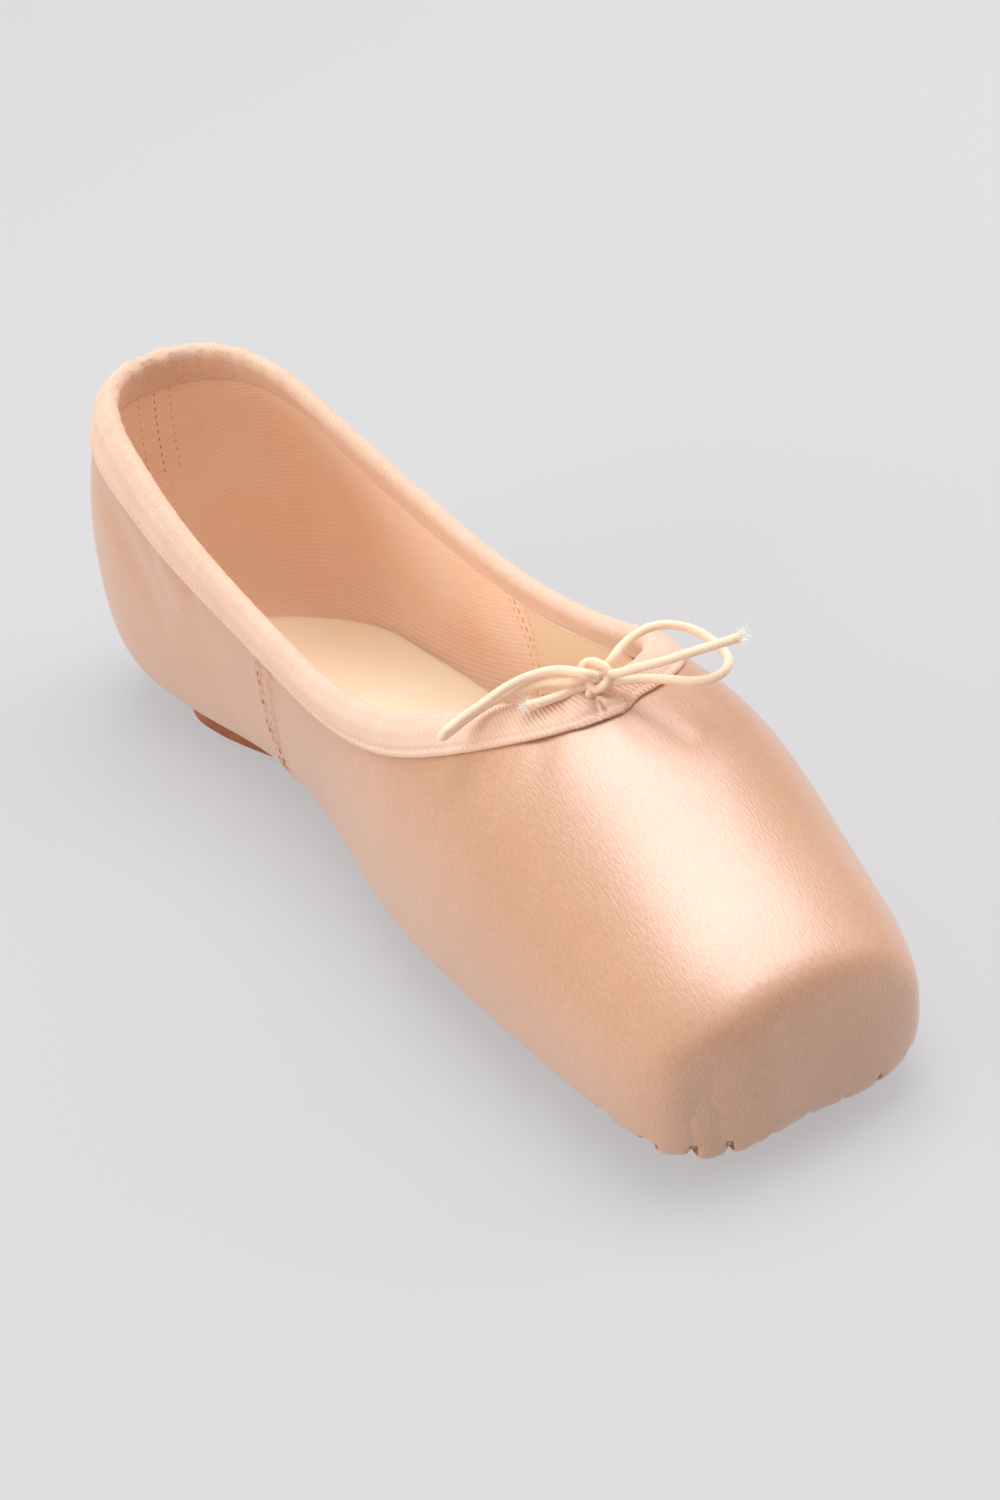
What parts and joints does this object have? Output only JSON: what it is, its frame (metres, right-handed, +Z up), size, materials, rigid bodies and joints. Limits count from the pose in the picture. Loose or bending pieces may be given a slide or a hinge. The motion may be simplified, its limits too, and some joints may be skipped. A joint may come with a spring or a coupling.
{
  "type": "pointe shoe",
  "caption": "Satin pointe shoe with a stiffened flat-ended box, a drawstring casing and bow, a short leather outsole and an insole board.",
  "frame": {"origin": "on the floor, under the middle of the shoe's length and width", "axes": "+X from heel to toe, +Y to the wearer's left, +Z up"},
  "size_m": [0.235, 0.0682, 0.07],
  "materials": {
    "satin": "pale peach satin, stiffened at the toe",
    "casing": "matte ribbed tape",
    "leather": "brown suede-like leather",
    "board": "cream lined board",
    "label_cloth": "matte cream cloth",
    "cord": "round braided elastic"
  },
  "bodies": {
    "root": {"upper": "satin", "binding": "casing", "outsole": "leather", "insole": "board", "label": "label_cloth", "drawstring_knot": "cord", "drawstring_loop_left": "cord", "drawstring_loop_right": "cord", "drawstring_end_left": "cord", "drawstring_end_right": "cord"}
  },
  "joints": []
}
